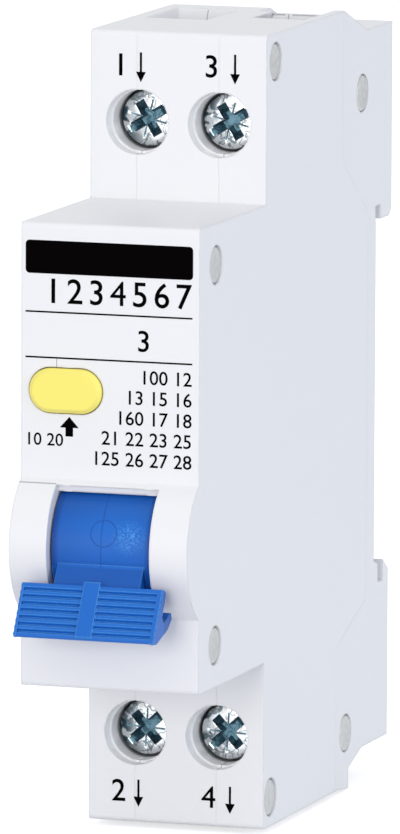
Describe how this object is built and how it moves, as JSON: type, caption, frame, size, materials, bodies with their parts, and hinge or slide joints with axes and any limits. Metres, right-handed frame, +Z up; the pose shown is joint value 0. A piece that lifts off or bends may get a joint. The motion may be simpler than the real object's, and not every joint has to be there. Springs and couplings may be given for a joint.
{
  "type": "residual current circuit breaker",
  "caption": "Narrow white rail-mounted residual current circuit breaker with a blue ribbed toggle handle, a yellow test button and screw terminals above and below.",
  "frame": {"origin": "centre of the flat seat that rests on the mounting rail, midway across the module and midway up its nose", "axes": "+X across the module to the right as seen from the front, +Y from the handle back to the rail, +Z up"},
  "size_m": [0.018, 0.0689, 0.0784],
  "materials": {
    "white_housing": "satin",
    "rivet_steel": "satin",
    "white_clip": "satin",
    "blue_handle": "semi-gloss",
    "yellow_button": "semi-gloss",
    "pin_steel": "bright",
    "spring_steel": "bright",
    "dark_moulding": "matt",
    "copper_strap": "satin",
    "enamelled_wire": "gloss",
    "yoke_steel": "satin",
    "insulating_card": "matt",
    "board_green": "satin",
    "board_parts": "satin",
    "zinc_screw": "bright",
    "zinc_cage": "satin"
  },
  "bodies": {
    "housing": {"left_shell": "white_housing", "middle_frame": "white_housing", "right_shell": "white_housing", "housing_rivets": "rivet_steel", "clip_spring": "spring_steel", "handle_pin": "pin_steel", "handle_spring": "spring_steel", "opening_spring": "spring_steel", "carrier_pin": "pin_steel", "trip_pin": "pin_steel", "trip_coil": "copper_strap", "trip_yoke": "yoke_steel", "trip_bobbin": "dark_moulding", "trip_core": "yoke_steel", "residual_coil": "enamelled_wire", "residual_yoke": "yoke_steel", "residual_bobbin": "dark_moulding", "residual_core": "yoke_steel", "line_in_strap": "copper_strap", "neutral_in_strap": "copper_strap", "line_fixed_contact": "copper_strap", "line_out_strap": "copper_strap", "neutral_out_strap": "copper_strap", "bimetal_heel": "yoke_steel", "bimetal_strip": "yoke_steel", "line_wire": "copper_strap", "neutral_wire": "copper_strap", "line_braid": "copper_strap", "neutral_braid": "copper_strap", "arc_plates": "yoke_steel", "arc_card_outer": "insulating_card", "arc_card_inner": "insulating_card", "sensor_case": "dark_moulding", "sensor_core": "yoke_steel", "circuit_board": "board_green", "board_capacitor": "board_parts", "board_varistor": "board_parts", "board_chip": "board_parts", "button_spring": "spring_steel", "test_leaf": "spring_steel", "test_resistor": "board_parts"},
    "handle": {"handle": "blue_handle"},
    "link_rod": {"link_rod": "pin_steel"},
    "contact_carrier": {"contact_carrier": "dark_moulding", "line_moving_contact": "copper_strap", "neutral_moving_contact": "copper_strap", "contact_springs": "spring_steel"},
    "trip_bar": {"trip_bar": "dark_moulding"},
    "trip_plunger": {"trip_plunger": "yoke_steel"},
    "residual_plunger": {"residual_plunger": "yoke_steel"},
    "test_button": {"test_button": "yellow_button"},
    "rail_clip": {"rail_clip": "white_clip"},
    "upper_line_screw": {"upper_line_screw": "zinc_screw"},
    "upper_line_cage": {"upper_line_cage": "zinc_cage"},
    "lower_line_screw": {"lower_line_screw": "zinc_screw"},
    "lower_line_cage": {"lower_line_cage": "zinc_cage"},
    "upper_neutral_screw": {"upper_neutral_screw": "zinc_screw"},
    "upper_neutral_cage": {"upper_neutral_cage": "zinc_cage"},
    "lower_neutral_screw": {"lower_neutral_screw": "zinc_screw"},
    "lower_neutral_cage": {"lower_neutral_cage": "zinc_cage"}
  },
  "joints": [
    {"name": "handle_hinge", "type": "hinge", "parent": "housing", "child": "handle", "pos_m": [0, -0.0523, -0.0088], "axis": [-1, 0, 0], "range_deg": [0, 66]},
    {"name": "carrier_hinge", "type": "hinge", "parent": "housing", "child": "contact_carrier", "pos_m": [0, -0.0362, -0.003], "axis": [1, 0, 0], "range_deg": [0, 18.05], "deforming": ["opening_spring", "line_braid", "neutral_braid"]},
    {"name": "link_hinge", "type": "hinge", "parent": "handle", "child": "link_rod", "pos_m": [0, -0.05034, -0.00653], "axis": [-1, 0, 0], "range_deg": [-75.2, 0]},
    {"name": "trip_hinge", "type": "hinge", "parent": "housing", "child": "trip_bar", "pos_m": [0, -0.0376, 0.0056], "axis": [1, 0, 0], "range_deg": [0, 8], "stiffness_Nm_per_rad": 0.002},
    {"name": "trip_plunger_slide", "type": "slide", "parent": "housing", "child": "trip_plunger", "axis": [0, -1, 0], "range_m": [0, 0.00089]},
    {"name": "residual_plunger_slide", "type": "slide", "parent": "housing", "child": "residual_plunger", "axis": [0, -1, 0], "range_m": [0, 0.00095]},
    {"name": "test_button_slide", "type": "slide", "parent": "housing", "child": "test_button", "axis": [0, 1, 0], "range_m": [0, 0.0012], "stiffness_N_per_m": 600, "deforming": ["button_spring"]},
    {"name": "rail_clip_slide", "type": "slide", "parent": "housing", "child": "rail_clip", "axis": [0, 0, -1], "range_m": [0, 0.003], "stiffness_N_per_m": 1000, "deforming": ["clip_spring"]},
    {"name": "upper_line_screw_turn", "type": "hinge", "parent": "housing", "child": "upper_line_screw", "pos_m": [-0.0042, -0.032, 0.0301], "axis": [0, 1, 0], "range_deg": [0, 1800]},
    {"name": "upper_line_cage_rise", "type": "slide", "parent": "housing", "child": "upper_line_cage", "axis": [0, -1, 0], "range_m": [0, 0.004]},
    {"name": "lower_line_screw_turn", "type": "hinge", "parent": "housing", "child": "lower_line_screw", "pos_m": [-0.0042, -0.032, -0.0301], "axis": [0, 1, 0], "range_deg": [0, 1800]},
    {"name": "lower_line_cage_rise", "type": "slide", "parent": "housing", "child": "lower_line_cage", "axis": [0, -1, 0], "range_m": [0, 0.004]},
    {"name": "upper_neutral_screw_turn", "type": "hinge", "parent": "housing", "child": "upper_neutral_screw", "pos_m": [0.0042, -0.032, 0.0301], "axis": [0, 1, 0], "range_deg": [0, 1800]},
    {"name": "upper_neutral_cage_rise", "type": "slide", "parent": "housing", "child": "upper_neutral_cage", "axis": [0, -1, 0], "range_m": [0, 0.004]},
    {"name": "lower_neutral_screw_turn", "type": "hinge", "parent": "housing", "child": "lower_neutral_screw", "pos_m": [0.0042, -0.032, -0.0301], "axis": [0, 1, 0], "range_deg": [0, 1800]},
    {"name": "lower_neutral_cage_rise", "type": "slide", "parent": "housing", "child": "lower_neutral_cage", "axis": [0, -1, 0], "range_m": [0, 0.004]}
  ],
  "couplings": [
    {"joint": "carrier_hinge", "follows": "handle_hinge", "ratio": 0.27273},
    {"joint": "link_hinge", "follows": "handle_hinge", "ratio": -1.1349},
    {"joint": "trip_hinge", "follows": "trip_plunger_slide", "rad_per_m": 156.25},
    {"joint": "residual_plunger_slide", "follows": "trip_plunger_slide", "ratio": 1.0625},
    {"joint": "upper_line_screw_turn", "follows": "upper_line_cage_rise", "rad_per_m": 7853.9},
    {"joint": "lower_line_screw_turn", "follows": "lower_line_cage_rise", "rad_per_m": 7853.9},
    {"joint": "upper_neutral_screw_turn", "follows": "upper_neutral_cage_rise", "rad_per_m": 7853.9},
    {"joint": "lower_neutral_screw_turn", "follows": "lower_neutral_cage_rise", "rad_per_m": 7853.9}
  ]
}
